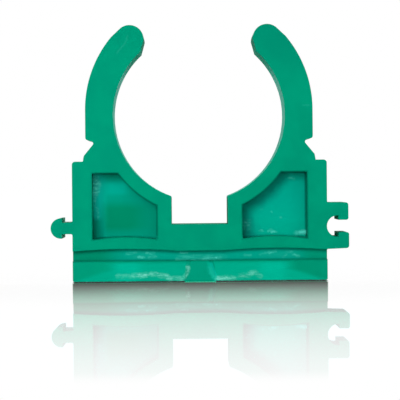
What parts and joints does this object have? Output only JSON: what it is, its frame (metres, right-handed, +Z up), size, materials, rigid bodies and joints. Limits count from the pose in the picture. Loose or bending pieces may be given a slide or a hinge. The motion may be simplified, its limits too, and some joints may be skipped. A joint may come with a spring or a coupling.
{
  "type": "u-shaped pipe clip",
  "caption": "Push-in plastic pipe clip with a C-shaped seat, a recessed body, rail grooves and side links that join clips in a row.",
  "frame": {"origin": "middle of the underside, on the surface that the clip stands on", "axes": "+X across the clip towards the link socket, +Y along the pipe towards the back, +Z up towards the mouth"},
  "size_m": [0.0555, 0.016, 0.0478],
  "materials": {
    "clip_plastic": "satin"
  },
  "bodies": {
    "root": {"pipe_clip": "clip_plastic"}
  },
  "joints": []
}
